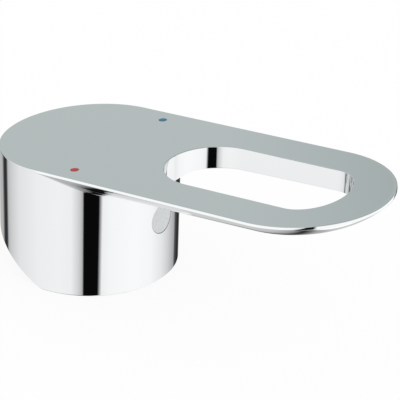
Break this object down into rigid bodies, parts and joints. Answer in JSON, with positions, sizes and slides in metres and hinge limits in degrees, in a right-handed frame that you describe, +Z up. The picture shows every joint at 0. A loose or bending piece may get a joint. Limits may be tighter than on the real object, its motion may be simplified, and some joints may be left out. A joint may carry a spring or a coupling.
{
  "type": "mixer tap handle",
  "caption": "Chrome loop lever handle for a mixer tap: a flat plate with a long finger slot over a round hollow skirt that holds a square stem socket.",
  "frame": {"origin": "on the axis of the round skirt and of the stem socket, in the plane of the skirt's front rim", "axes": "+Z up along the skirt's axis, +X along the loop towards its tip, +Y towards the cold marker"},
  "size_m": [0.108, 0.046, 0.0412],
  "materials": {
    "chrome_plate": "bright chrome plate on die-cast zinc",
    "grey_plastic": "satin light grey",
    "screw_steel": "plain stainless",
    "hot_red": "gloss",
    "cold_blue": "gloss"
  },
  "bodies": {
    "root": {"lever_body": "chrome_plate", "cover_plug": "grey_plastic", "set_screw": "screw_steel", "hot_marker": "hot_red", "cold_marker": "cold_blue"}
  },
  "joints": []
}
